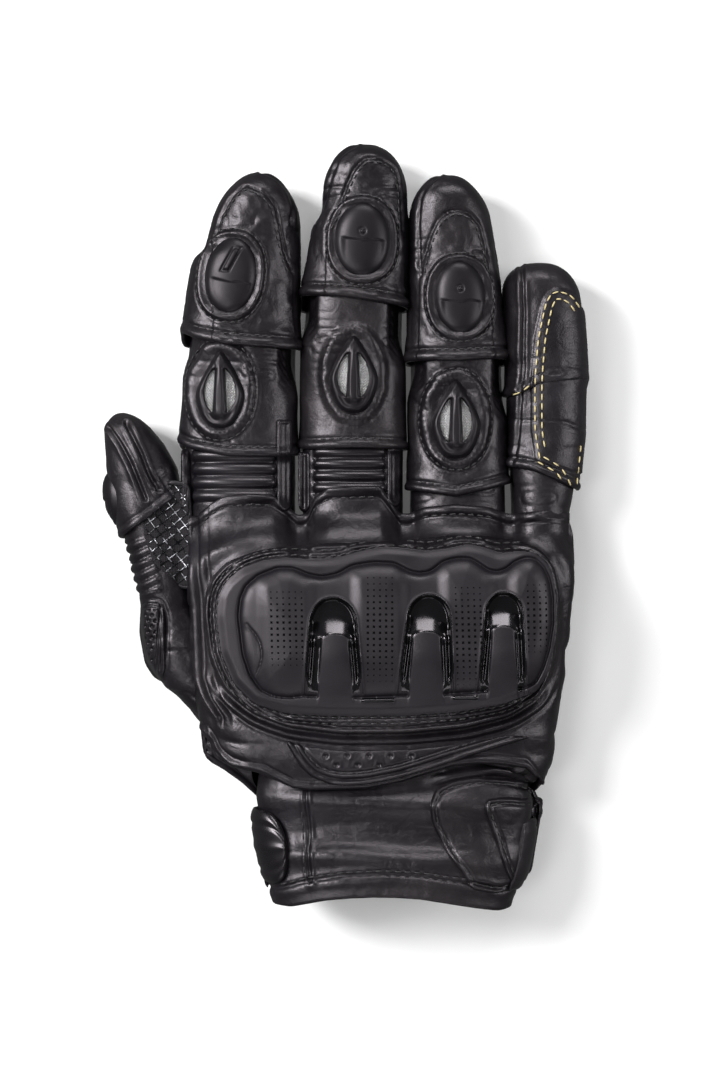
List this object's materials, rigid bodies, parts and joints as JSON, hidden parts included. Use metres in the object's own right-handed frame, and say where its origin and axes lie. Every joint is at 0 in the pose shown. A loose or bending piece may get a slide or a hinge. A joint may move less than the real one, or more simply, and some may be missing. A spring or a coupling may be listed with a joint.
{
  "type": "motorcycle glove",
  "caption": "Right-hand black leather riding glove with a moulded knuckle guard, finger sliders, vent caps, stretch ribs and a short strapped cuff.",
  "frame": {"origin": "centre of the footprint, on the surface the glove's palm lies on", "axes": "+Y towards the fingertips, +X towards the little finger, +Z out of the back of the hand"},
  "size_m": [0.152, 0.2399, 0.0455],
  "materials": {
    "leather": "satin",
    "palm_leather": "matte",
    "lining": "knitted",
    "guard_plastic": "matte",
    "slider_plastic": "satin",
    "gloss_plastic": "gloss",
    "foam": "matte foam",
    "wire_mesh": "satin wire",
    "mesh_fabric": "woven mesh",
    "stretch_fabric": "matte",
    "hook_loop": "hook and loop"
  },
  "bodies": {
    "hand": {"back_panel": "leather", "palm_panel": "palm_leather", "hand_lining": "lining", "palm_patch": "palm_leather", "heel_pad": "palm_leather", "guard_shell": "guard_plastic", "guard_foam": "foam", "guard_channel_inserts": "gloss_plastic", "guard_welt": "leather", "wrist_vent_panel": "leather", "index_stretch_ribs": "leather", "middle_stretch_ribs": "leather", "thumb_base_pad": "leather"},
    "index_lower": {"index_lower_sleeve": "leather", "index_vent_cap": "slider_plastic", "index_vent_mesh": "wire_mesh"},
    "index_upper": {"index_upper_sleeve": "leather", "index_tip_cap": "leather", "index_slider": "slider_plastic"},
    "middle_lower": {"middle_lower_sleeve": "leather", "middle_vent_cap": "slider_plastic", "middle_vent_mesh": "wire_mesh"},
    "middle_upper": {"middle_upper_sleeve": "leather", "middle_tip_cap": "leather", "middle_slider": "slider_plastic"},
    "ring_lower": {"ring_lower_sleeve": "leather", "ring_vent_cap": "slider_plastic", "ring_vent_mesh": "wire_mesh"},
    "ring_upper": {"ring_upper_sleeve": "leather", "ring_tip_cap": "leather", "ring_slider": "slider_plastic"},
    "little_lower": {"little_lower_sleeve": "leather", "little_lower_side_panel": "leather"},
    "little_upper": {"little_upper_sleeve": "leather", "little_tip_cap": "leather", "little_upper_side_panel": "leather"},
    "thumb_lower": {"thumb_lower_sleeve": "leather", "thumb_mesh_panel": "mesh_fabric", "thumb_stretch_ribs": "leather"},
    "thumb_upper": {"thumb_upper_sleeve": "leather", "thumb_slider": "slider_plastic"},
    "cuff": {"cuff_band": "leather", "cuff_gusset": "stretch_fabric", "cuff_lining": "lining", "cuff_binding": "leather", "strap_root_patch": "leather", "loop_patch": "hook_loop"},
    "strap": {"wrist_strap": "leather", "hook_patch": "hook_loop", "strap_pull_tab": "gloss_plastic"}
  },
  "joints": [
    {"name": "wrist_bend", "type": "hinge", "parent": "hand", "child": "cuff", "pos_m": [0.014, -0.0775, 0.0185], "axis": [1, 0, 0], "range_deg": [-12, 12]},
    {"name": "strap_opening", "type": "hinge", "parent": "cuff", "child": "strap", "pos_m": [0.0601, -0.086, 0.018], "axis": [-0.1644, -0.9864, 0], "range_deg": [0, 150]},
    {"name": "index_knuckle", "type": "hinge", "parent": "hand", "child": "index_lower", "pos_m": [-0.033, 0.017, 0.0095], "axis": [-1, 0, 0], "range_deg": [0, 70]},
    {"name": "index_middle_joint", "type": "hinge", "parent": "index_lower", "child": "index_upper", "pos_m": [-0.033, 0.06, 0.0095], "axis": [-1, 0, 0], "range_deg": [0, 75]},
    {"name": "middle_knuckle", "type": "hinge", "parent": "hand", "child": "middle_lower", "pos_m": [0.00165, 0.019, 0.0095], "axis": [-1, 0, 0], "range_deg": [0, 70]},
    {"name": "middle_middle_joint", "type": "hinge", "parent": "middle_lower", "child": "middle_upper", "pos_m": [0.00165, 0.069, 0.0095], "axis": [-1, 0, 0], "range_deg": [0, 75]},
    {"name": "ring_knuckle", "type": "hinge", "parent": "hand", "child": "ring_lower", "pos_m": [0.03475, 0.011, 0.0095], "axis": [-1, 0, 0], "range_deg": [0, 70]},
    {"name": "ring_middle_joint", "type": "hinge", "parent": "ring_lower", "child": "ring_upper", "pos_m": [0.03475, 0.052, 0.0095], "axis": [-1, 0, 0], "range_deg": [0, 75]},
    {"name": "little_knuckle", "type": "hinge", "parent": "hand", "child": "little_lower", "pos_m": [0.06295, 0.008, 0.0095], "axis": [-1, 0, 0], "range_deg": [0, 70]},
    {"name": "little_middle_joint", "type": "hinge", "parent": "little_lower", "child": "little_upper", "pos_m": [0.06295, 0.04, 0.0095], "axis": [-1, 0, 0], "range_deg": [0, 75]},
    {"name": "thumb_base", "type": "hinge", "parent": "hand", "child": "thumb_lower", "pos_m": [-0.0597, -0.024, 0.0095], "axis": [-0.9921, -0.1253, 0], "range_deg": [0, 45]},
    {"name": "thumb_tip_joint", "type": "hinge", "parent": "thumb_lower", "child": "thumb_upper", "pos_m": [-0.06271, -0.00019, 0.0095], "axis": [-0.9921, -0.1253, 0], "range_deg": [0, 55]}
  ]
}
